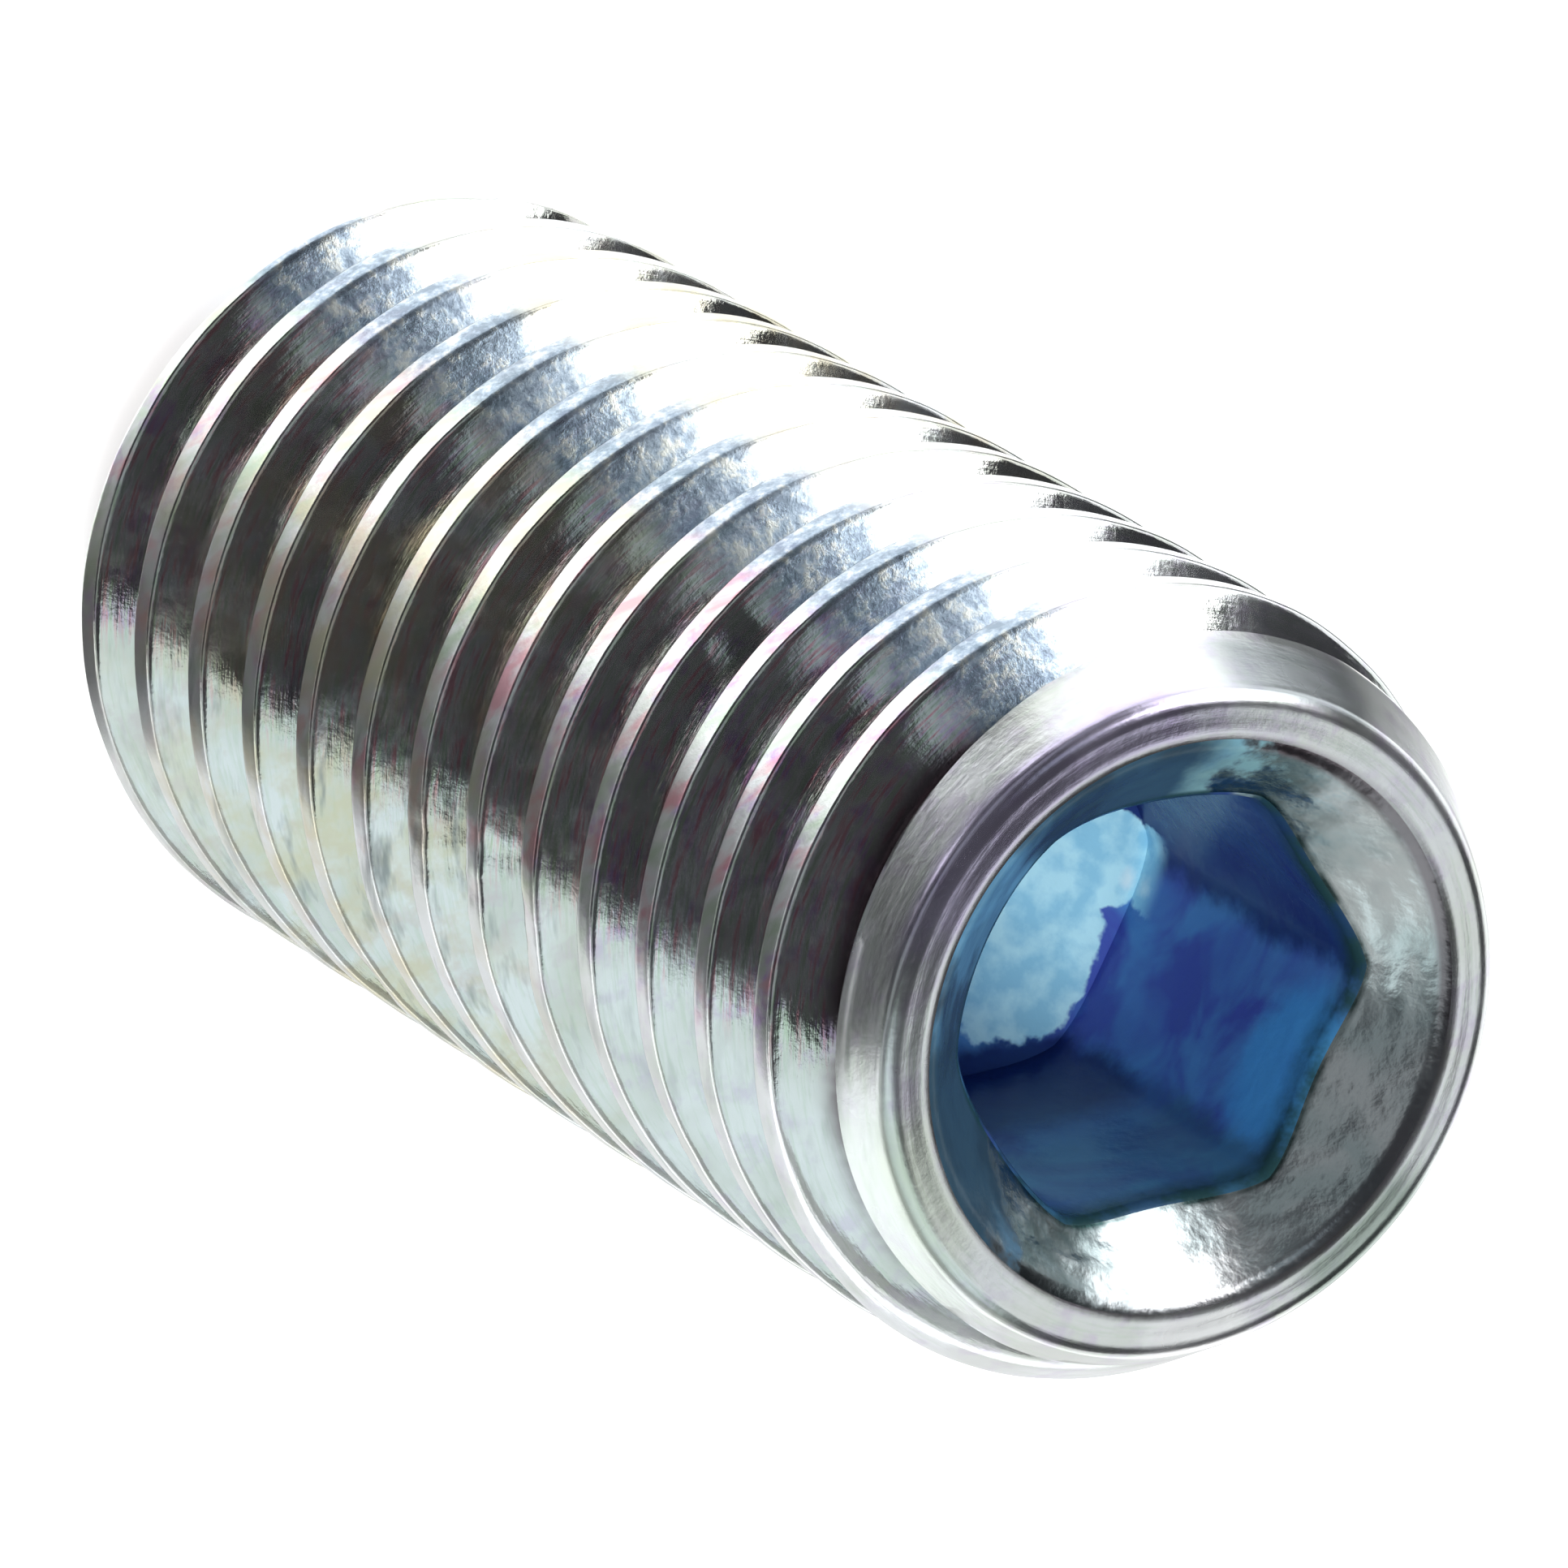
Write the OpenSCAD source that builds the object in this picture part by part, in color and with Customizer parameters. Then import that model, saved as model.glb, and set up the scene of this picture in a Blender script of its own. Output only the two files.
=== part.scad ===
// Socket set screw with a flat point, coarse metric thread, one solid.
// Millimetres. The screw stands on its point: axis along +Z, socket at the top.
// Seen from the socket, the hexagon has two of its corners on the X axis.

/* [Thread] */
// Diameter over the crests, a little under the nominal 12 as cut threads are
thread_d = 11.8; // [11:0.2:14]
// Distance from one crest to the next
pitch = 1.75; // [1.5:0.05:2]
// Height at which the groove passes the +X side for the first time
groove_start = -0.4; // [-0.8:0.1:0.8]
// Turns over which the groove fades out on the socket end's bevel
runout_turns = 0.5; // [0.25:0.05:1]

/* [Length and ends] */
// Length over all, from the point to the socket end
screw_l = 25; // [16:1:50]
// Diameter of the flat at the point
point_d = 8.5; // [6:0.1:9]
// Angle between the point's flat and its bevel
point_angle = 45; // [30:5:60]
// Length of the bevel at the socket end
head_bevel_l = 1.9; // [1:0.1:3]
// Width of the flat rim between the socket's mouth and the bevel
rim_w = 0.7; // [0.4:0.05:0.9]
// Radius of the rolled edge between the rim and the bevel
rim_edge_r = 0.35; // [0.1:0.05:0.5]

/* [Socket] */
// Width of the hexagon across its flats
hex_af = 6; // [5:0.25:6.5]
// Depth of the flats below the socket end
hex_depth = 7; // [5:0.5:10]
// How far the bevelled mouth reaches past the hexagon's corners
mouth_over = 0.75; // [0.5:0.05:1]
// Radius of the rounded edge between the rim and the mouth
mouth_edge_r = 0.5; // [0.1:0.05:0.6]
// Full angle of the bevelled mouth
mouth_angle = 90; // [80:5:120]
// How much smaller the drilled hole is than the hexagon's flats
drill_under = 0.1; // [0.05:0.05:0.5]
// Full angle of the drill's tip
drill_angle = 118; // [90:1:150]

/* [Hidden] */

// Metric thread with 60 degree flanks, a flat crest and a flat root
flank_slope = tan(30);
thread_depth = 0.6134 * pitch;
crest_w = pitch / 8;
root_w = pitch - crest_w - 2 * thread_depth * flank_slope;
thread_r = thread_d / 2;
root_r = thread_r - thread_depth;

// Straight steps in one turn of the groove
steps_per_turn = 36;
// The groove's cutter stands this far clear of the crests, so that its chords miss them
cutter_over = 0.08;
// The groove starts a turn below its first pass, where the screw has no wall yet,
// and ends where the socket end's bevel is three quarters done
first_step = -steps_per_turn;
groove_end = screw_l - head_bevel_l / 4;
last_step = round((groove_end - groove_start) / pitch * steps_per_turn);

hex_corner_d = hex_af / cos(30);
mouth_d = hex_corner_d + 2 * mouth_over;
rim_r = mouth_d / 2 + rim_w;
point_bevel_l = (thread_d - point_d) / 2 * tan(point_angle);

// Angle between the axis and the bevel at the socket end
bevel_angle = atan2(thread_r - rim_r, head_bevel_l);
// Distance from the rim's outer corner to where its rolled edge starts and ends
rim_tangent = rim_edge_r * tan((90 - bevel_angle) / 2);
// The mouth's rounded edge leaves at least this much of the rim flat
rim_flat_min = 0.05;
lip_turn = tan((90 - mouth_angle / 2) / 2);
lip_r = min(mouth_edge_r, (rim_w - rim_tangent - rim_flat_min) / lip_turn);
lip_tangent = lip_r * lip_turn;

// Facets of round things on screen
round_fn = 96;

function polar(r, angle) = [r * cos(angle), r * sin(angle)];

// How far the groove's root is lifted at a step: nothing until the run-out, then up past the crests
function root_lift(step) =
    let (turns_left = (last_step - step) / steps_per_turn)
    (thread_depth + cutter_over / 2) * pow(max(0, 1 - turns_left / runout_turns), 2);

// Cross-section of the groove at a step, as four [radius, height] points
function groove_section(step) =
    let (
        z = groove_start + pitch * step / steps_per_turn,
        r_in = root_r + root_lift(step),
        r_out = thread_r + cutter_over,
        half_in = root_w / 2,
        half_out = half_in + (r_out - r_in) * flank_slope
    )
    [[r_in, z - half_in], [r_out, z - half_out], [r_out, z + half_out], [r_in, z + half_in]];

// The V groove, wound right-handed from its cross-sections
module groove() {
    turns = last_step - first_step;
    points = [
        for (i = [0:turns], p = groove_section(first_step + i))
            [each polar(p[0], 360 * (first_step + i) / steps_per_turn), p[1]]
    ];
    sides = [
        for (i = [0:turns - 1], k = [0:3])
            let (a = 4 * i + k, b = 4 * i + (k + 1) % 4)
            each [[a, b, b + 4], [a, b + 4, a + 4]]
    ];
    end = 4 * turns;
    caps = [[0, 3, 2], [0, 2, 1], [end, end + 1, end + 2], [end, end + 2, end + 3]];
    polyhedron(points = points, faces = concat(sides, caps));
}

// Half outline of the blank, with a rolled edge between the bevel and the rim
module blank_outline() {
    on_rim = [rim_r - rim_tangent, screw_l];
    on_bevel = [rim_r + rim_tangent * sin(bevel_angle), screw_l - rim_tangent * cos(bevel_angle)];
    polygon([
        [0, 0],
        [point_d / 2, 0],
        [thread_r, point_bevel_l],
        [thread_r, screw_l - head_bevel_l],
        on_bevel,
        on_rim,
        [0, screw_l]
    ]);
    translate(on_rim - [0, rim_edge_r]) circle(r = rim_edge_r, $fn = round_fn);
}

// Half outline of the space in the mouth: a cone whose edge curves over onto the rim
module mouth_outline() {
    lip_middle = [mouth_d / 2 + lip_tangent, screw_l - lip_r];
    on_cone = [
        mouth_d / 2 - lip_tangent * sin(mouth_angle / 2),
        screw_l - lip_tangent * cos(mouth_angle / 2)
    ];
    difference() {
        polygon([
            [0, screw_l - mouth_d / 2 / tan(mouth_angle / 2)],
            on_cone,
            lip_middle,
            [lip_middle[0], screw_l],
            [0, screw_l]
        ]);
        translate(lip_middle) circle(r = lip_r, $fn = round_fn);
    }
}

// The bevelled mouth, the hexagon and the drilled bottom, cut from the socket end
module socket() {
    drill_r = (hex_af - drill_under) / 2;
    tip_l = drill_r / tan(drill_angle / 2);
    rotate_extrude($fn = round_fn) mouth_outline();
    translate([0, 0, screw_l - hex_depth])
        cylinder(h = hex_depth, d = hex_corner_d, $fn = 6);
    translate([0, 0, screw_l - hex_depth - tip_l])
        cylinder(h = tip_l, r1 = 0, r2 = drill_r, $fn = round_fn);
}

module set_screw() {
    color("silver")
    difference() {
        rotate_extrude($fn = round_fn) blank_outline();
        groove();
        socket();
    }
}

set_screw();
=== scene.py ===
import math

import bpy
import bmesh
from mathutils import Matrix, Vector, noise


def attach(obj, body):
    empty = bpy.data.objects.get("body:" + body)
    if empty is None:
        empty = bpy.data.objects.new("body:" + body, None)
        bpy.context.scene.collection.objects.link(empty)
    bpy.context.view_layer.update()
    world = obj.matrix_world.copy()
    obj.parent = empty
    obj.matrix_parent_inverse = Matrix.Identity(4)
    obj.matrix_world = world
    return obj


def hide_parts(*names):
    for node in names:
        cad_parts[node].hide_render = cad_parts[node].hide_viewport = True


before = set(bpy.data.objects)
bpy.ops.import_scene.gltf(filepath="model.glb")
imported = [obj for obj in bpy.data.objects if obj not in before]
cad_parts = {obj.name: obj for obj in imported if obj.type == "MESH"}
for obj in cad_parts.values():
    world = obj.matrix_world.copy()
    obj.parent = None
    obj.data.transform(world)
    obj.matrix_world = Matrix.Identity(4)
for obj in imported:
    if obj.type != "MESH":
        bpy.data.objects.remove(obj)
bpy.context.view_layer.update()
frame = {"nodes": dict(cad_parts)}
print("frame loaded:", ", ".join(frame["nodes"]))

mm = 0.001


# helpers for the materials

def newMaterial(name):
    material = bpy.data.materials.new(name)
    material.use_nodes = True
    tree = material.node_tree
    return material, tree, tree.nodes["Principled BSDF"]


def addNode(tree, kind, **settings):
    node = tree.nodes.new(kind)
    for key, value in settings.items():
        setattr(node, key, value)
    return node


def fill(tree, socket, value):
    # a link from another node's output, or else a plain value
    if isinstance(value, bpy.types.NodeSocket):
        tree.links.new(value, socket)
    else:
        socket.default_value = value


def places(tree):
    # the object's own coordinates, together and one by one
    coords = addNode(tree, "ShaderNodeTexCoord").outputs["Object"]
    split = addNode(tree, "ShaderNodeSeparateXYZ")
    tree.links.new(coords, split.inputs["Vector"])
    return coords, split.outputs["X"], split.outputs["Y"], split.outputs["Z"]


def mathNode(tree, kind, first, second=0.0):
    node = addNode(tree, "ShaderNodeMath", operation=kind)
    fill(tree, node.inputs[0], first)
    fill(tree, node.inputs[1], second)
    return node.outputs[0]


def add(tree, first, second):
    return mathNode(tree, "ADD", first, second)


def multiply(tree, first, second):
    return mathNode(tree, "MULTIPLY", first, second)


def combine(tree, x, y, z):
    node = addNode(tree, "ShaderNodeCombineXYZ")
    for socket, value in zip(node.inputs, (x, y, z)):
        fill(tree, socket, value)
    return node.outputs["Vector"]


def flatLength(tree, x, y):
    # distance from the screw's axis
    node = addNode(tree, "ShaderNodeVectorMath", operation="LENGTH")
    tree.links.new(combine(tree, x, y, 0.0), node.inputs[0])
    return node.outputs["Value"]


def gapTo(tree, coords, place):
    # distance from a place in mm
    node = addNode(tree, "ShaderNodeVectorMath", operation="DISTANCE")
    tree.links.new(coords, node.inputs[0])
    node.inputs[1].default_value = [part * mm for part in place]
    return node.outputs["Value"]


def towards(tree, x, y, sideX, sideY):
    return add(tree, multiply(tree, x, sideX), multiply(tree, y, sideY))


def fade(tree, value, low, high, start=0.0, end=1.0):
    # smooth change from start, where the value is low, to end, where it is high
    node = addNode(tree, "ShaderNodeMapRange", interpolation_type="SMOOTHSTEP")
    for name, number in (("From Min", low), ("From Max", high), ("To Min", start), ("To Max", end)):
        node.inputs[name].default_value = number
    tree.links.new(value, node.inputs["Value"])
    return node.outputs["Result"]


def fadeOver(tree, value, span, start=0.0, end=1.0):
    # the same over a span in mm
    return fade(tree, value, span[0] * mm, span[1] * mm, start, end)


def addNoise(tree, coords, size, detail, roughness=0.5, distortion=0.0):
    # size is that of one blotch, in mm
    node = addNode(tree, "ShaderNodeTexNoise")
    node.inputs["Scale"].default_value = 1 / (size * mm)
    node.inputs["Detail"].default_value = detail
    node.inputs["Roughness"].default_value = roughness
    node.inputs["Distortion"].default_value = distortion
    tree.links.new(coords, node.inputs["Vector"])
    return node.outputs["Fac"]


def addRamp(tree, value, *stops):
    # each stop is a place and a colour, or one number for a grey
    node = addNode(tree, "ShaderNodeValToRGB")
    band = node.color_ramp
    while len(band.elements) < len(stops):
        band.elements.new(0.5)
    for element, (place, colour) in zip(band.elements, stops):
        element.position = place
        element.color = (*colour, 1.0) if isinstance(colour, tuple) else (colour, colour, colour, 1.0)
    tree.links.new(value, node.inputs["Fac"])
    return node.outputs["Color"]


def mixColours(tree, factor, first, second):
    node = addNode(tree, "ShaderNodeMixRGB")
    fill(tree, node.inputs["Fac"], factor)
    for name, colour in (("Color1", first), ("Color2", second)):
        fill(tree, node.inputs[name], (*colour, 1.0) if isinstance(colour, tuple) else colour)
    return node.outputs["Color"]


def addBump(tree, shader, height, strength, distance):
    node = addNode(tree, "ShaderNodeBump")
    node.inputs["Strength"].default_value = strength
    node.inputs["Distance"].default_value = distance * mm
    tree.links.new(height, node.inputs["Height"])
    tree.links.new(node.outputs["Normal"], shader.inputs["Normal"])


def layOut(tree):
    # nodes stand in columns, by how many steps they are from the output
    steps = {"Material Output": 0}
    changed = True
    while changed:
        changed = False
        for link in tree.links:
            after = steps.get(link.to_node.name)
            if after is not None and steps.get(link.from_node.name, -1) <= after:
                steps[link.from_node.name] = after + 1
                changed = True
    rows = {}
    for name, column in steps.items():
        row = rows.get(column, 0)
        tree.nodes[name].location = (-220 * column, -200 * row)
        rows[column] = row + 1


# the screw

screw = {
    "radius": 5.895,        # over the crests, in mm as all sizes here
    "pitch": 1.75,
    "rootRadius": 4.827,
    "rootWidth": 0.09,
    "flankAngle": 30,       # half of the angle between two flanks
    "grooveStart": -0.4,    # height at which the groove first passes the +X side
    "grooveEnd": 24.525,    # the groove has faded out here
    "runoutTurns": 0.5,
    "runoutLift": 1.11,     # how far the groove's bottom rises over its run-out
    "length": 25.0,
    "pointRadius": 4.25,
    "pointBevel": 1.65,
    "rimRadius": 4.914,
    "headBevel": 1.9,
    "rimRoll": 0.42,        # radius of the rolled edge of the rim
    "mouthRadius": 4.214,   # where the mouth's cone would meet the end
    "lipRoll": 0.5,         # radius of the rounded edge between the rim and the mouth
    "rimSlope": 7.0,        # degrees that the rim falls outward
    "hexFlats": 6.0,
    "hexDepth": 7.0,
    "hexRoll": 0.3,         # radius of the edge where the flats meet the mouth
    "cornerFill": 3.28,     # radius up to which the film leaves the hexagon's corners open
    "drillRadius": 2.95,
    "drillAngle": 118.0,
    # how far from its corner each rounding starts
    "crestRound": 0.10,
    "rootRound": 0.18,
    "bevelRound": 0.10,
    "cornerRound": 0.3,
    "wave": 0.014,          # unevenness of the plated surface
    "waveScale": 0.9,
    "wavelessFoot": 0.4,    # below this height the unevenness fades out, so the point stands flat
    "mouthWave": 0.035,     # unevenness of the mouth's bevel
    "sharpAngle": 38,       # steeper edges are shaded as sharp
    "columns": 240,         # steps round the screw
    # rows across one turn of the thread, as parts of the pitch from one crest to the next
    "rows": (
        0, 0.045, 0.089, 0.11, 0.131, 0.155, 0.22, 0.32, 0.41, 0.45, 0.48,
        0.52, 0.55, 0.59, 0.68, 0.78, 0.845, 0.869, 0.89, 0.911, 0.955,
    ),
    # dents: degrees round from +X, height, width round, width along, depth
    "dents": (
        (-25.7, 8.76, 0.45, 0.30, 0.14),
        (-22.6, 9.67, 0.35, 0.22, 0.10),
        (-62.0, 13.4, 0.90, 1.10, 0.10),
        (-58.0, 15.6, 0.60, 0.50, 0.09),
        (-71.0, 6.3, 0.35, 0.35, 0.09),
        (-35.0, 19.3, 0.50, 0.35, 0.08),
        (-112.0, 17.8, 0.40, 0.30, 0.08),
        (35.0, 12.1, 0.60, 0.40, 0.12),
        (128.0, 7.2, 0.50, 0.40, 0.10),
    ),
}


def softMin(a, b, soft):
    h = max(soft - abs(a - b), 0.0) / soft
    return min(a, b) - h * h * soft * 0.25


def blankRadius(z):
    s = screw
    point = s["pointRadius"] + z * (s["radius"] - s["pointRadius"]) / s["pointBevel"]
    aboveBevel = z - s["length"] + s["headBevel"]
    head = s["radius"] - aboveBevel * (s["radius"] - s["rimRadius"]) / s["headBevel"]
    return softMin(softMin(s["radius"], point, s["bevelRound"]), head, s["bevelRound"])


def grooveRadius(turn, z):
    s = screw
    lap = round((z - s["grooveStart"]) / s["pitch"] - turn)
    middle = s["grooveStart"] + s["pitch"] * (turn + lap)
    if middle > s["grooveEnd"]:
        return math.inf
    turnsLeft = (s["grooveEnd"] - middle) / s["pitch"]
    root = s["rootRadius"] + s["runoutLift"] * max(0.0, 1 - turnsLeft / s["runoutTurns"]) ** 2
    flank = root + (abs(z - middle) - s["rootWidth"] / 2) / math.tan(math.radians(s["flankAngle"]))
    return -softMin(-root, -flank, s["rootRound"])


def surfaceRadius(turn, z):
    s = screw
    radius = softMin(blankRadius(z), grooveRadius(turn, z), s["crestRound"])
    angle = turn * 2 * math.pi
    spot = Vector((math.cos(angle) * radius, math.sin(angle) * radius, z))
    radius += s["wave"] * (noise.noise(spot * s["waveScale"]) - 0.6) * min(1.0, z / s["wavelessFoot"])
    for degrees, height, wide, tall, deep in s["dents"]:
        across = (math.degrees(angle) - degrees + 180) % 360 - 180
        across *= math.radians(1) * radius / wide
        along = (z - height) / tall
        reach = across * across + along * along
        if reach < 9:       # three widths away a dent no longer shows
            radius -= deep * math.exp(-reach) * (0.7 + 0.6 * noise.noise(spot * 3.1))
    return radius


def hexRadius(turn):
    flat = screw["hexFlats"] / 2 / math.cos(math.radians(turn * 360 % 60 - 30))
    return softMin(flat, screw["cornerFill"], screw["cornerRound"])


def buildScrew():
    s = screw
    mesh = bmesh.new()
    edgeLayer = mesh.verts.layers.float.new("edge_shade")
    columns = s["columns"]
    perLap = len(s["rows"])
    bevelAngle = math.atan2(s["radius"] - s["rimRadius"], s["headBevel"])
    tangent = s["rimRoll"] * math.tan((math.pi / 2 - bevelAngle) / 2)
    topZ = s["length"] - tangent * math.cos(bevelAngle)
    onRim = s["rimRadius"] - tangent
    clear = 0.02            # the strip is cut off this near to its ends

    def addVertex(radius, turn, z, onEdge=0.0):
        angle = turn * 2 * math.pi
        vertex = mesh.verts.new((radius * math.cos(angle) * mm, radius * math.sin(angle) * mm, z * mm))
        vertex[edgeLayer] = onEdge
        return vertex

    def addFace(corners, finish=0):
        ring = []
        for corner in corners:
            if corner not in ring:
                ring.append(corner)
        if len(ring) > 2:
            face = mesh.faces.new(ring)
            face.smooth = True
            face.material_index = finish

    def addRings(last, rings, finish=0, onEdge=0.0):
        # rings are functions from the turn to (radius, height)
        for ring in rings:
            fresh = []
            for j in range(columns):
                radius, z = ring(j / columns)
                fresh.append(addVertex(radius, j / columns, z, onEdge))
            for j in range(columns):
                k = (j + 1) % columns
                addFace((last[j], last[k], fresh[k], fresh[j]), finish)
            last = fresh
        return last

    def plain(radius, z):
        return lambda turn: (radius, z)

    # the threaded outside is one long strip wound up the screw, cut off at both ends
    foot = [addVertex(surfaceRadius(j / columns, 0.0), j / columns, 0.0) for j in range(columns)]
    top = [addVertex(surfaceRadius(j / columns, topZ), j / columns, topZ) for j in range(columns)]
    crest = s["grooveStart"] + s["pitch"] / 2
    strip = []
    for lap in range(-2, int(s["length"] / s["pitch"]) + 2):
        for offset in s["rows"]:
            row = []
            for j in range(columns):
                z = crest + s["pitch"] * (lap + j / columns + offset)
                if z < clear:
                    row.append(foot[j])
                elif z > topZ - clear:
                    row.append(top[j])
                else:
                    row.append(addVertex(surfaceRadius(j / columns, z), j / columns, z))
            strip.append(row)
    for i in range(len(strip) - perLap - 1):
        for j in range(columns - 1):
            addFace((strip[i][j], strip[i][j + 1], strip[i + 1][j + 1], strip[i + 1][j]))
        addFace((strip[i][-1], strip[i + perLap][0], strip[i + perLap + 1][0], strip[i + 1][-1]))

    # rolled edge, rim and the edge of the mouth, whose last rows have the mouth's finish
    rollSteps, filmRows = 8, 5
    eighth = math.pi / 4
    mouth = s["mouthRadius"]
    lipMiddle = mouth + s["lipRoll"] * math.tan(math.pi / 8)
    fall = (onRim - lipMiddle) * math.tan(math.radians(s["rimSlope"]))
    rings = []
    for step in range(1, rollSteps + 1):
        a = bevelAngle + (math.pi / 2 - bevelAngle) * step / rollSteps
        sunk = s["rimRoll"] * (1 - math.sin(a))
        rings.append(plain(onRim + s["rimRoll"] * math.cos(a), s["length"] - sunk - fall * step / rollSteps))
    for share in (0.33, 0.67):
        rings.append(plain(onRim * (1 - share) + lipMiddle * share, s["length"] - fall * (1 - share)))
    for step in range(rollSteps + 1):
        a = eighth * step / rollSteps
        sunk = s["lipRoll"] * (1 - math.cos(a))
        rings.append(plain(lipMiddle - s["lipRoll"] * math.sin(a), s["length"] - sunk))
    edge = addRings(addRings(top, rings[:-filmRows]), rings[-filmRows:], 2)
    lipEnd = lipMiddle - s["lipRoll"] * math.sin(eighth)

    # bevelled mouth, down to the hexagon
    rolled = s["hexRoll"] * (1 - math.cos(eighth))

    def mouthRing(share):
        def ring(turn):
            radius = lipEnd * (1 - share) + (hexRadius(turn) + rolled) * share
            around = Vector((math.cos(turn * math.tau), math.sin(turn * math.tau), share))
            dip = s["mouthWave"] * (noise.noise(around * 4) + 0.5 * noise.noise(around * 11))
            return radius, s["length"] - (mouth - radius) + dip * math.sin(share * math.pi)
        return ring

    edge = addRings(edge, [mouthRing(step / 10) for step in range(1, 10)], 2)
    # these rows and the hexagon's edge are marked for painted shade
    edge = addRings(edge, [mouthRing(0.97), mouthRing(1.0)], 2, 1.0)

    def hexEdgeRing(a):
        def ring(turn):
            flat = hexRadius(turn)
            drop = s["hexRoll"] * (math.sin(eighth) - math.sin(a))
            return flat + s["hexRoll"] * (1 - math.cos(a)), s["length"] - (mouth - flat - rolled) - drop
        return ring

    edge = addRings(edge, [hexEdgeRing(eighth * (1 - step / 5)) for step in range(1, 6)], 1, 1.0)

    # flats of the hexagon
    floorZ = s["length"] - s["hexDepth"]

    def wallRing(share):
        def ring(turn):
            radius = hexRadius(turn)
            high = s["length"] - (mouth - radius - rolled) - s["hexRoll"] * math.sin(eighth)
            return radius, high + (floorZ - high) * share
        return ring

    edge = addRings(edge, [wallRing(step / 12) for step in range(1, 13)], 1)

    # ledge and drilled bottom
    slope = 1 / math.tan(math.radians(s["drillAngle"] / 2))
    rings = []
    for radius in (s["drillRadius"], 2.4, 1.8, 1.2, 0.6, 0.15):
        rings.append(plain(radius, floorZ - (s["drillRadius"] - radius) * slope))
    edge = addRings(edge, rings, 1)
    tip = mesh.verts.new((0, 0, (floorZ - s["drillRadius"] * slope) * mm))
    for j in range(columns):
        addFace((edge[j], edge[(j + 1) % columns], tip), 1)

    # flat of the point
    last = foot
    for radius in (4.0, 3.0, 1.8, 0.7):
        fresh = [addVertex(radius, j / columns, 0.0) for j in range(columns)]
        for j in range(columns):
            k = (j + 1) % columns
            addFace((last[k], last[j], fresh[j], fresh[k]))
        last = fresh
    centre = mesh.verts.new((0, 0, 0))
    for j in range(columns):
        addFace((last[(j + 1) % columns], last[j], centre))

    bmesh.ops.delete(mesh, geom=[v for v in mesh.verts if not v.link_faces], context="VERTS")
    bmesh.ops.recalc_face_normals(mesh, faces=mesh.faces)
    data = bpy.data.meshes.new("threaded_screw")
    mesh.to_mesh(data)
    mesh.free()
    data.set_sharp_from_angle(angle=math.radians(s["sharpAngle"]))
    piece = bpy.data.objects.new("threaded_screw", data)
    bpy.context.scene.collection.objects.link(piece)
    print("screw built:", len(data.polygons), "faces")
    return piece


# zinc plate

zinc = {
    "bright": (0.86, 0.89, 0.91),
    "dull": (0.70, 0.73, 0.70),
    "olive": (0.74, 0.70, 0.50),    # old grease, mostly half way up
    "violet": (0.60, 0.44, 0.74),   # faint colours of the passivated zinc
    "green": (0.55, 0.68, 0.54),
    "red": (0.82, 0.30, 0.38),
    "streak": (0.28, 0.31, 0.32),
    "speck": (0.20, 0.27, 0.36),    # in the scuffed strip
    "scuff": (0.36, 0.46, 0.57),
    "grimeAndShade": (0.17, 0.12, 0.14),    # painted shade and grime in the bottom of the groove, painted shade along the lip
    # sides: degrees round from +X, half width with full effect, and where it ends
    "darkSide": (-98, 26, 42),
    "wornSide": (-42, 24, 36),
    "scuffedStrip": (-131, 6, 14),
    # spans in mm, from where a thing starts to where it is full: heights, or distances from the axis
    "threadTop": (24.1, 23.7),
    "mattHeight": (20, 15),
    "grooveBottom": (5.42, 4.95),
    "lipHeight": (20, 21),
    "lipOutside": (4.42, 4.24),
    "rimHeight": (24.6, 24.8),
    "rimInside": (4.3, 4.45),
    "bevelHeight": (23.7, 24.1),
    "bevelInside": (4.84, 4.96),
    # marks on the bevel or else on the rim: a side, strength, colour; tints of the zinc, and painted shade
    # and a painted highlight where marked
    "stainsAndPaintedLight": (
        (False, (-120, 24, 46), 0.55, (0.62, 0.50, 0.86)),
        # painted shade on the rim
        (False, (66, 9, 19), 0.75, (0.30, 0.38, 0.33)),
        # painted highlight on the rim
        (False, (30, 6, 14), 0.90, (1.0, 1.0, 1.0)),
        (False, (-40, 6, 20), 0.50, (0.70, 0.78, 0.60)),
        # painted shade on the bevel
        (True, (-174, 9, 20), 0.70, (0.25, 0.29, 0.31)),
        (True, (186, 9, 20), 0.70, (0.25, 0.29, 0.31)),     # the same painted shade past the half turn
        # painted shade on the bevel
        (True, (-36, 14, 32), 0.55, (0.50, 0.56, 0.52)),
    ),
    "metallic": 0.97,
    "roughLow": 0.06,
    "roughHigh": 0.15,
    "roughStrip": 0.16,     # added in the scuffed strip
    "roughMatt": 0.11,      # added in patches on the dark side
    "roughHead": 0.13,      # added on the bevel and the rim
    "pitDepth": 3.5,
    "bump": 0.16,
    "bumpHeight": 0.02,
}


def heightShare(tree, z):
    # height as a part of the screw's length
    node = addNode(tree, "ShaderNodeMapRange")
    node.inputs["From Max"].default_value = screw["length"] * mm
    tree.links.new(z, node.inputs["Value"])
    return node.outputs["Result"]


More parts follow.
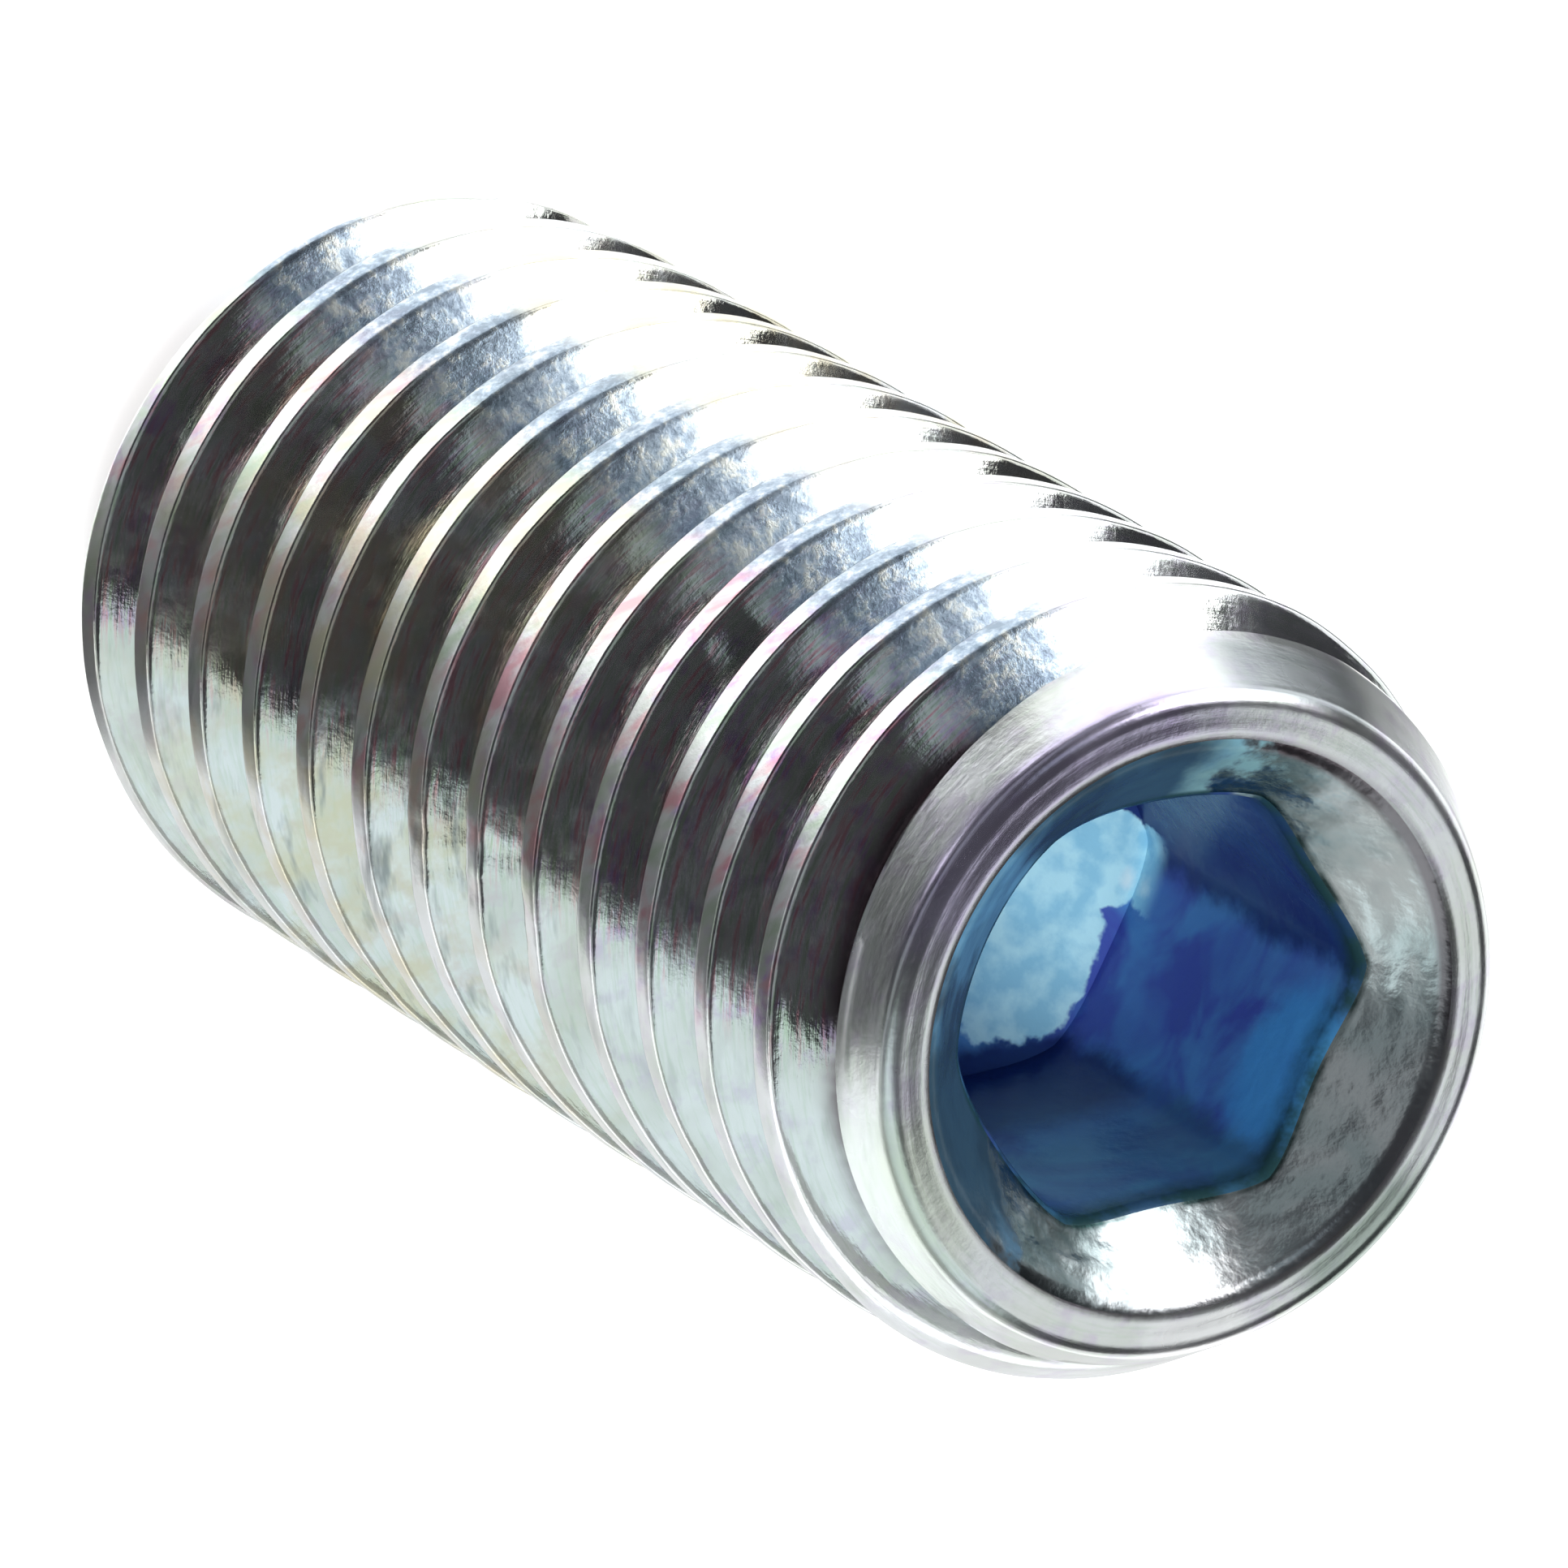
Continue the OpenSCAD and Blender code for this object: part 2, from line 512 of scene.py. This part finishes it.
def makeZinc():
    material, tree, shader = newMaterial("zinc plate")
    coords, x, y, z = places(tree)
    fromAxis = flatLength(tree, x, y)
    angle = mathNode(tree, "ARCTAN2", y, x)
    share = heightShare(tree, z)
    onThread = fadeOver(tree, z, zinc["threadTop"])

    def sector(middle, full, end):
        off = mathNode(tree, "ABSOLUTE", mathNode(tree, "SUBTRACT", angle, math.radians(middle)))
        return fade(tree, off, math.radians(end), math.radians(full))

    # rolling lines run along the thread, so they change quickly with the distance from the axis
    lean = multiply(tree, z, 0.7)
    lines = combine(
        tree,
        multiply(tree, fromAxis, 14.0),
        add(tree, x, lean),
        mathNode(tree, "SUBTRACT", y, lean))
    rolled = addNoise(tree, lines, 1.4, 3, roughness=0.65)
    blotch = addNoise(tree, coords, 1.7, 3)
    grain = addNoise(tree, coords, 0.20, 5, roughness=0.65)
    tint = addNoise(tree, coords, 0.55, 4, roughness=0.6)
    otherTint = addNoise(tree, lines, 0.9, 3, roughness=0.6)
    base = addRamp(tree, blotch, (0.36, zinc["dull"]), (0.60, zinc["bright"]))

    # the faint colours are stronger on the side that reflects the dark room
    darkSide = multiply(tree, sector(*zinc["darkSide"]), onThread)
    strength = fade(tree, darkSide, 0.0, 1.0, 0.3, 0.95)
    violetPart = addRamp(tree, tint, (0.50, 0.0), (0.66, 1.0))
    greenPart = addRamp(tree, otherTint, (0.50, 0.0), (0.66, 1.0))
    redPart = addRamp(tree, otherTint, (0.34, 1.0), (0.48, 0.0))
    base = mixColours(tree, multiply(tree, violetPart, strength), base, zinc["violet"])
    base = mixColours(tree, multiply(tree, greenPart, strength), base, zinc["green"])
    base = mixColours(tree, multiply(tree, redPart, multiply(tree, darkSide, 0.7)), base, zinc["red"])

    # painted shade and patchy grime in the bottom of the groove, dark all along on the dark side
    patchy = addRamp(tree, addNoise(tree, coords, 1.3, 3), (0.40, 0.25), (0.58, 1.0))
    deep = multiply(tree, fadeOver(tree, fromAxis, zinc["grooveBottom"]), onThread)
    grooveDarkening = multiply(tree, deep, mathNode(tree, "MAXIMUM", patchy, darkSide))
    base = mixColours(tree, grooveDarkening, base, zinc["grimeAndShade"])

    # grease stains, and dark smears that run along the thread
    stained = addRamp(tree, addNoise(tree, coords, 1.1, 4, roughness=0.62), (0.42, 0.0), (0.60, 1.0))
    halfWay = addRamp(tree, share, (0.08, 0.25), (0.25, 0.75), (0.52, 0.75), (0.72, 0.0))
    base = mixColours(tree, multiply(tree, stained, halfWay), base, zinc["olive"])
    slanted = combine(
        tree,
        multiply(tree, angle, 1.1 * mm),
        add(tree, z, multiply(tree, angle, 1.2 * mm)),
        multiply(tree, fromAxis, 1.5))
    streak = addRamp(tree, addNoise(tree, slanted, 0.42, 3, roughness=0.6), (0.54, 0.0), (0.72, 1.0))
    lower = addRamp(tree, share, (0.10, 0.25), (0.30, 0.85), (0.50, 0.85), (0.80, 0.2))
    worn = multiply(tree, sector(*zinc["wornSide"]), lower)
    base = mixColours(tree, multiply(tree, streak, worn), base, zinc["streak"])

    # a strip along the screw is scuffed and pitted
    strip = multiply(tree, sector(*zinc["scuffedStrip"]), onThread)
    pits = addNoise(tree, coords, 0.30, 5, roughness=0.72)
    scuffs = addRamp(tree, pits, (0.40, zinc["speck"]), (0.50, zinc["scuff"]), (0.62, zinc["dull"]))
    base = mixColours(tree, multiply(tree, strip, 0.9), base, scuffs)

    # painted shade along the edge between rim and mouth
    inside = fadeOver(tree, fromAxis, zinc["lipOutside"])
    lipShade = multiply(tree, inside, fadeOver(tree, z, zinc["lipHeight"]))
    base = mixColours(tree, multiply(tree, lipShade, 0.5), base, zinc["grimeAndShade"])

    # tints, painted shade and a painted highlight on the rim and on the bevel below it
    onRim = multiply(
        tree,
        fadeOver(tree, z, zinc["rimHeight"]),
        fadeOver(tree, fromAxis, zinc["rimInside"]))
    onBevel = multiply(
        tree,
        fadeOver(tree, z, zinc["bevelHeight"]),
        fadeOver(tree, fromAxis, zinc["bevelInside"]))
    for atBevel, side, amount, colour in zinc["stainsAndPaintedLight"]:
        place = multiply(tree, sector(*side), onBevel if atBevel else onRim)
        base = mixColours(tree, multiply(tree, place, amount), base, colour)
    tree.links.new(base, shader.inputs["Base Color"])

    mattNoise = addNoise(tree, coords, 0.8, 4, roughness=0.6)
    mattSide = multiply(tree, darkSide, fadeOver(tree, z, zinc["mattHeight"], 0.2, 1.0))
    matt = multiply(tree, addRamp(tree, mattNoise, (0.46, 0.0), (0.68, 1.0)), mattSide)
    rough = fade(tree, blotch, 0.3, 0.7, zinc["roughLow"], zinc["roughHigh"])
    rough = add(tree, rough, multiply(tree, strip, zinc["roughStrip"]))
    rough = add(tree, rough, multiply(tree, matt, zinc["roughMatt"]))
    rough = add(tree, rough, fade(tree, onThread, 1.0, 0.0, 0.0, zinc["roughHead"]))
    tree.links.new(rough, shader.inputs["Roughness"])
    pitted = multiply(tree, pits, multiply(tree, strip, zinc["pitDepth"]))
    addBump(tree, shader, add(tree, add(tree, pitted, grain), rolled), zinc["bump"], zinc["bumpHeight"])
    shader.inputs["Metallic"].default_value = zinc["metallic"]
    layOut(tree)
    return material


# blue film in the socket

film = {
    "deep": (0.065, 0.11, 0.46),
    "mid": (0.09, 0.28, 0.62),
    # painted light on the far flat
    "bright": (0.08, 0.40, 0.85),
    # painted shade deep in the socket and on the left flat
    "paintedDeepShade": (0.010, 0.022, 0.13),
    "teal": (0.045, 0.15, 0.20),
    "mouthDeep": (0.045, 0.085, 0.13),
    "mouthMid": (0.15, 0.38, 0.60),
    "thin": (0.30, 0.55, 0.58),     # at one end of the film on the mouth
    "shade": (0.03, 0.06, 0.09),
    "paintedPool": (0.30, 0.66, 0.86),     # painted pool of light on the bottom
    "paintedPoolBright": (0.50, 0.88, 1.0),
    # painted glints
    "drop": (0.75, 0.95, 1.0),
    "edge": (0.02, 0.06, 0.06),     # darker where the film ends; painted shade along the hexagon's rounded edge and on one side of the bare mouth
    "bare": (0.66, 0.75, 0.77),     # mouth without film
    # places and sizes in mm
    "litMiddle": (0.2, 3.0, 23.3),
    "patchMiddle": (0.50, 1.65),
    "patchSize": (1.45, 1.30),
    "armMiddle": (-1.15, 2.35),
    "armSize": (0.75, 0.75),
    "glintSpots": ((-1.05, 2.75, 18.2, 0.32), (-3.42, -0.20, 24.1, 0.30)),   # painted glints: place and radius
    # spans in mm, from where a thing starts to where it is full
    "flatFace": (2.75, 3.05),
    "deepShadeBelow": (21.9, 20.2),
    "tealAbove": (20.6, 22),
    "litReach": (1.9, 1.3),
    "bottomHeight": (18.7, 18.2),
    "outerRingInside": (4.02, 4.16),
    "patchEdge": (1.36, 1.28),      # as parts of the patch's size
    # the film is on this side of the mouth, and reaches up to about this radius
    "mouthSide": (-0.063, -0.998),
    "mouthReach": 3.8,
    "mouthEdge": (0.62, 0.80),      # both as parts of that radius
    "mouthMargin": (0.12, 0.62),
    # on the mouth: degrees round from +X, the cosines where a colour starts and where it is full, strength,
    # colour; the mouthMid and shade entries are painted light and painted shade
    "mouthTints": (
        (-95, 0.95, 0.995, 0.65, "mouthMid"),
        (-45, 0.86, 0.95, 0.92, "shade"),
        (-137, 0.88, 0.96, 0.88, "shade"),
        (-176, 0.92, 0.99, 0.70, "thin"),
    ),
    "metallic": 0.10,
    "rough": 0.25,
    "specular": 0.15,
    "bump": 0.6,
    "bumpHeight": 0.04,
}


def mouthColour(tree, x, y, blotch, ragged):
    # the film reaches up the mouth's bevel on one side only
    sideX, sideY = (part / (film["mouthReach"] * mm) for part in film["mouthSide"])
    reach = add(tree, towards(tree, x, y, sideX, sideY), multiply(tree, ragged, 0.9))
    covered = fade(tree, reach, *film["mouthEdge"])
    margin = fade(tree, reach, *film["mouthMargin"])
    fromAxis = flatLength(tree, x, y)
    wobble = multiply(tree, mathNode(tree, "SUBTRACT", ragged, 0.5), 0.10)

    def facing(degrees, low, high):
        # how much a place on the mouth faces a side, from none to fully
        a = math.radians(degrees)
        along = mathNode(tree, "DIVIDE", towards(tree, x, y, math.cos(a), math.sin(a)), fromAxis)
        return fade(tree, add(tree, along, wobble), low, high)

    bare = addRamp(tree, blotch, (0.4, film["bare"]), (0.6, zinc["bright"]))
    bare = mixColours(tree, multiply(tree, margin, 0.75), bare, film["edge"])
    # the outer ring of the bare mouth is darker on the side facing 150 degrees
    outer = fadeOver(tree, fromAxis, film["outerRingInside"])
    darkerSide = fade(tree, facing(150, 0.55, 0.85), 0.0, 1.0, 0.30, 0.80)
    bare = mixColours(tree, multiply(tree, outer, darkerSide), bare, zinc["grimeAndShade"])
    # painted shade on the bare mouth where it faces +X, trimming its highlight
    bare = mixColours(tree, multiply(tree, facing(0, 0.95, 0.995), 0.45), bare, film["edge"])
    coat = addRamp(tree, blotch, (0.40, film["mouthDeep"]), (0.60, film["mouthMid"]))
    # tints by side on the mouth's film, most of them painted light and painted shade
    for degrees, low, high, amount, colour in film["mouthTints"]:
        coat = mixColours(tree, multiply(tree, facing(degrees, low, high), amount), coat, film[colour])
    return mixColours(tree, covered, bare, coat), covered


def socketColour(tree, coords, x, y, z, blotch, grain, ragged):
    def facing(degrees):
        # each flat gets painted light and shade of its own
        a = math.radians(degrees)
        along = towards(tree, x, y, math.cos(a), math.sin(a))
        return fadeOver(tree, add(tree, along, multiply(tree, ragged, 0.5 * mm)), film["flatFace"])

    def awayFrom(place, size):
        # 1 on the outline of an oval
        squares = []
        for value, middle, wide in zip((x, y), place, size):
            part = mathNode(tree, "DIVIDE", mathNode(tree, "SUBTRACT", value, middle * mm), wide * mm)
            squares.append(multiply(tree, part, part))
        return mathNode(tree, "SQRT", add(tree, *squares))

    onRight, onFar, onLeft = facing(30), facing(90), facing(150)
    raggedStep = multiply(tree, ragged, 0.8 * mm)
    height = add(tree, z, raggedStep)
    # painted shade low on the right flat and over the left flat
    rightDeepShade = multiply(tree, onRight, fadeOver(tree, height, film["deepShadeBelow"]))
    paintedDeepShade = mathNode(tree, "MAXIMUM", rightDeepShade, multiply(tree, onLeft, 0.95))
    teal = multiply(tree, onRight, fadeOver(tree, height, film["tealAbove"]))
    # painted light on the upper part of the far flat
    gap = add(tree, gapTo(tree, coords, film["litMiddle"]), raggedStep)
    near = fadeOver(tree, gap, film["litReach"])
    base = addRamp(tree, blotch, (0.40, film["deep"]), (0.60, film["mid"]))
    base = mixColours(tree, multiply(tree, paintedDeepShade, 0.9), base, film["paintedDeepShade"])
    base = mixColours(tree, multiply(tree, teal, 0.6), base, film["teal"])
    base = mixColours(tree, multiply(tree, multiply(tree, onFar, near), 0.75), base, film["bright"])

    # painted pool of light on the bottom, with an arm toward one corner
    away = mathNode(
        tree, "MINIMUM",
        awayFrom(film["patchMiddle"], film["patchSize"]),
        awayFrom(film["armMiddle"], film["armSize"]))
    away = add(tree, away, multiply(tree, ragged, 0.6))
    patch = multiply(tree, fade(tree, away, *film["patchEdge"]), fadeOver(tree, z, film["bottomHeight"]))
    mottled = mixColours(tree, addRamp(tree, grain, (0.40, 0.0), (0.62, 1.0)), film["paintedPool"], film["paintedPoolBright"])
    base = mixColours(tree, patch, base, mottled)
    # painted glints
    for *place, size in film["glintSpots"]:
        uneven = add(tree, gapTo(tree, coords, place), multiply(tree, ragged, 0.4 * mm))
        drop = fadeOver(tree, uneven, (size + 0.22, size + 0.02))
        base = mixColours(tree, drop, base, film["drop"])
    return base


def makeFilm(name, onMouth):
    material, tree, shader = newMaterial(name)
    coords, x, y, z = places(tree)
    blotch = addNoise(tree, coords, 1.5, 3, distortion=0.6)
    grain = addNoise(tree, coords, 0.45, 4)
    ragged = addNoise(tree, coords, 0.8, 4, roughness=0.6)
    if onMouth:
        base, covered = mouthColour(tree, x, y, blotch, ragged)
        metallic = mathNode(tree, "SUBTRACT", 1.0, multiply(tree, covered, 0.9))
        tree.links.new(metallic, shader.inputs["Metallic"])
    else:
        base = socketColour(tree, coords, x, y, z, blotch, grain, ragged)
        shader.inputs["Metallic"].default_value = film["metallic"]
    # painted shade along the hexagon's rounded edge and the mouth's last rows
    onEdge = addNode(tree, "ShaderNodeAttribute", attribute_name="edge_shade").outputs["Fac"]
    darkness = multiply(tree, onEdge, fade(tree, ragged, 0.35, 0.6, 0.45, 0.95))
    tree.links.new(mixColours(tree, darkness, base, film["edge"]), shader.inputs["Base Color"])
    addBump(tree, shader, grain, film["bump"], film["bumpHeight"])
    shader.inputs["Roughness"].default_value = film["rough"]
    shader.inputs["Specular IOR Level"].default_value = film["specular"]
    layOut(tree)
    return material


piece = buildScrew()
piece.data.materials.append(makeZinc())
piece.data.materials.append(makeFilm("blue film", False))
piece.data.materials.append(makeFilm("mouth with film", True))
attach(piece, "root")
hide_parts("set_screw")
print("finishes made:", len(piece.data.materials))


# floor and low wall of the studio

darkRoom = (0.03, 0.03, 0.035, 1)

studio = {
    "radius": 0.70,
    "wallHeight": 0.11,
    "footStart": 0.86,      # where the floor starts to curve up, as a part of the radius
    "footHeight": 0.06,
    "steps": 96,
    "floorColour": (0.90, 0.90, 0.90, 1.0),
    "floorLift": 0.65,      # part of the white that doesn't come from the lamps
}


def makeBackdrop():
    material, tree, shader = newMaterial("white paper")
    shader.inputs["Base Color"].default_value = studio["floorColour"]
    shader.inputs["Roughness"].default_value = 0.9
    shader.inputs["Specular IOR Level"].default_value = 0.1
    path = addNode(tree, "ShaderNodeLightPath").outputs
    seen = mathNode(tree, "MAXIMUM", path["Is Camera Ray"], path["Is Glossy Ray"])
    seen = mathNode(tree, "MAXIMUM", seen, path["Is Transmission Ray"])
    shader.inputs["Emission Color"].default_value = (1, 1, 1, 1)
    tree.links.new(multiply(tree, seen, studio["floorLift"]), shader.inputs["Emission Strength"])
    layOut(tree)
    return material


def buildRoom():
    mesh = bmesh.new()
    radius, steps = studio["radius"], studio["steps"]
    start = studio["footStart"]
    outline = [(0.05, 0.0), (0.2, 0.0), (radius * start, 0.0)]
    for k in range(1, 7):       # rounded foot of the wall
        a = math.pi / 2 * k / 6
        out = radius * start + radius * (1 - start) * math.sin(a)
        outline.append((out, studio["footHeight"] * (1 - math.cos(a))))
    outline.append((radius, studio["wallHeight"]))
    centre = mesh.verts.new((0, 0, 0))
    last = None
    for r, z in outline:
        turns = [math.tau * k / steps for k in range(steps)]
        ring = [mesh.verts.new((r * math.cos(turn), r * math.sin(turn), z)) for turn in turns]
        for k in range(steps):
            n = (k + 1) % steps
            corners = (centre, ring[k], ring[n]) if last is None else (last[k], ring[k], ring[n], last[n])
            mesh.faces.new(corners).smooth = True
        last = ring
    data = bpy.data.meshes.new("studio_room")
    mesh.to_mesh(data)
    mesh.free()
    room = bpy.data.objects.new("studio_room", data)
    bpy.context.scene.collection.objects.link(room)
    data.materials.append(makeBackdrop())


buildRoom()

# lamps: degrees round from +X and above the floor, width and height in degrees as the screw sees them
lamps = {
    "window": {"round": 165.2, "up": 31, "wide": 30, "high": 44, "level": 3.2, "colour": (1.0, 1.0, 1.0)},
    "windowLow": {"round": 182.0, "up": 18, "wide": 20, "high": 18, "level": 1.5, "colour": (1.0, 1.0, 1.0)},
    "sky": {"round": 201.6, "up": 57, "wide": 15, "high": 14, "level": 0.34, "colour": (0.80, 0.92, 1.0)},
    "side": {"round": -2.6, "up": 45, "wide": 56, "high": 36, "level": 0.84, "colour": (0.88, 1.0, 0.99)},
    "sideLow": {"round": -10.0, "up": 15, "wide": 78, "high": 23, "level": 0.40, "colour": (0.95, 1.0, 0.96)},
    "back": {"round": 76, "up": 51, "wide": 46, "high": 20, "level": 0.90, "colour": (0.97, 1.0, 1.0)},
    "front": {"round": -97.6, "up": 34, "wide": 118, "high": 16, "level": 0.26, "colour": (0.92, 1.0, 1.0)},
    "top": {
        "round": -60, "up": 68, "wide": 24, "high": 24, "level": 13.0, "colour": (1.0, 1.0, 1.0),
        "inGloss": False,
    },
}
lampDistance = 0.55
screwMiddle = Vector((0, 0, 12.5 * mm))


def direction(roundDegrees, upDegrees):
    a, e = math.radians(roundDegrees), math.radians(upDegrees)
    return Vector((math.cos(a) * math.cos(e), math.sin(a) * math.cos(e), math.sin(e)))


def addLamps():
    for name, lamp in lamps.items():
        light = bpy.data.lights.new(name, "AREA")
        light.shape = "RECTANGLE"
        light.size = 2 * lampDistance * math.tan(math.radians(lamp["wide"] / 2))
        light.size_y = 2 * lampDistance * math.tan(math.radians(lamp["high"] / 2))
        light.energy = lamp["level"] * light.size * light.size_y * math.pi
        light.color = lamp["colour"]
        thing = bpy.data.objects.new(name, light)
        bpy.context.scene.collection.objects.link(thing)
        away = direction(lamp["round"], lamp["up"])
        thing.location = screwMiddle + away * lampDistance
        thing.rotation_mode = "QUATERNION"
        thing.rotation_quaternion = away.to_track_quat("Z", "Y")
        thing.visible_glossy = lamp.get("inGloss", True)


addLamps()

# dark cards that only the metal sees, in mm from the screw's axis,
# and how dense they are by degrees round from +X
cards = {
    "front card": {
        "inner": 250, "outer": 250, "height": 60,
        "cover": ((-146, 0), (-138, 1), (-52, 1), (-44, 0)),
    },
    "left card": {
        "inner": 24, "outer": 86, "height": 0,
        "cover": ((-285, 0), (-264, 0.32), (-251, 0.42), (-237, 0.75), (-222, 0.92), (-206, 0.88), (-190, 0)),
    },
    "foot card": {
        "inner": 6.1, "outer": 60, "height": 0,
        "cover": (
            (-104, 0), (-92, 0.6), (-82, 0.85), (-66, 0.93), (-48, 0.93),
            (-38, 0.7), (-33, 0.45), (80, 0.45), (90, 0),
        ),
    },
    "far card": {
        "inner": 50, "outer": 250, "height": 0,
        "cover": ((-104, 0), (-91, 0.7), (-80, 0.92), (-46, 0.92), (-34, 0)),
    },
    "right card": {
        "inner": 600, "outer": 600, "height": 105,
        "cover": ((-45, 0), (-30, 0.4), (30, 0.4), (50, 0)),
    },
}
cardSteps = 60
cardLift = 0.3      # mm above the floor


def makeCardMaterial():
    material, tree, shader = newMaterial("dark card")
    tree.nodes.remove(shader)
    cover = addNode(tree, "ShaderNodeAttribute", attribute_name="cover")
    clear = addNode(tree, "ShaderNodeBsdfTransparent")
    dark = addNode(tree, "ShaderNodeEmission")
    dark.inputs["Color"].default_value = darkRoom
    mix = addNode(tree, "ShaderNodeMixShader")
    tree.links.new(cover.outputs["Fac"], mix.inputs["Fac"])
    tree.links.new(clear.outputs[0], mix.inputs[1])
    tree.links.new(dark.outputs[0], mix.inputs[2])
    tree.links.new(mix.outputs[0], tree.nodes["Material Output"].inputs["Surface"])
    layOut(tree)
    return material


def coverAt(stops, degrees):
    density = 0.0
    for (a, low), (b, high) in zip(stops, stops[1:]):
        if a <= degrees <= b:
            density = low + (high - low) * (degrees - a) / (b - a)
    return density


def addCard(name, card, material):
    stops = card["cover"]
    softEdged = card["height"] == 0 and card["inner"] > 10      # flat cards fade out at both edges
    mesh = bmesh.new()
    layer = mesh.verts.layers.float.new("cover")
    rows = []
    for i in range(cardSteps + 1):
        degrees = stops[0][0] + (stops[-1][0] - stops[0][0]) * i / cardSteps
        angle = math.radians(degrees)
        row = []
        for share in (0.0, 0.12, 0.88, 1.0):
            radius = (card["inner"] + (card["outer"] - card["inner"]) * share) * mm
            z = (cardLift + card["height"] * share) * mm
            vertex = mesh.verts.new((radius * math.cos(angle), radius * math.sin(angle), z))
            vertex[layer] = 0.0 if softEdged and share in (0.0, 1.0) else coverAt(stops, degrees)
            row.append(vertex)
        rows.append(row)
    for one, two in zip(rows, rows[1:]):
        for j in range(3):
            mesh.faces.new((one[j], two[j], two[j + 1], one[j + 1]))
    data = bpy.data.meshes.new(name)
    mesh.to_mesh(data)
    mesh.free()
    data.materials.append(material)
    thing = bpy.data.objects.new(name.replace(" ", "_"), data)
    bpy.context.scene.collection.objects.link(thing)
    thing.visible_camera = False
    thing.visible_diffuse = False
    thing.visible_transmission = False
    thing.visible_shadow = False


cardMaterial = makeCardMaterial()
for name, card in cards.items():
    addCard(name, card, cardMaterial)

world = bpy.data.worlds.new("studio air")
bpy.context.scene.world = world
world.use_nodes = True
world.node_tree.nodes["Background"].inputs["Color"].default_value = darkRoom
world.node_tree.nodes["Background"].inputs["Strength"].default_value = 1.0


# camera

view = {
    "tilt": 34.09,          # between the screw's axis and the line to the camera
    "round": -97.61,        # side of the screw that the camera is on
    "roll": 120.91,
    "distance": 286.47 * mm,
    "lens": 447.2,
    "sensor": 36.0,
    "aim": (-18.3, -11.6),  # where the middle of the screw sits from the middle of the picture, in its pixels
    "imageSize": 1932,
}


def addCamera():
    camera = bpy.data.cameras.new("camera")
    camera.lens = view["lens"]
    camera.sensor_width = view["sensor"]
    camera.clip_start = 0.01
    camera.clip_end = 5.0
    thing = bpy.data.objects.new("camera", camera)
    bpy.context.scene.collection.objects.link(thing)
    away = direction(view["round"], 90 - view["tilt"])
    ahead = -away
    right = ahead.cross(Vector((0, 0, 1))).normalized()
    up = right.cross(ahead)
    roll = math.radians(view["roll"])
    right, up = math.cos(roll) * right + math.sin(roll) * up, -math.sin(roll) * right + math.cos(roll) * up
    pixels = view["lens"] / view["sensor"] * view["imageSize"]
    ahead = (ahead - right * view["aim"][0] / pixels + up * view["aim"][1] / pixels).normalized()
    right = ahead.cross(up).normalized()
    up = right.cross(ahead)
    turned = Matrix((right, up, -ahead)).transposed()
    thing.matrix_world = Matrix.Translation(screwMiddle + away * view["distance"]) @ turned.to_4x4()
    bpy.context.scene.camera = thing


addCamera()
bpy.context.scene.view_settings.view_transform = "Standard"
print("room, lamps and camera placed")
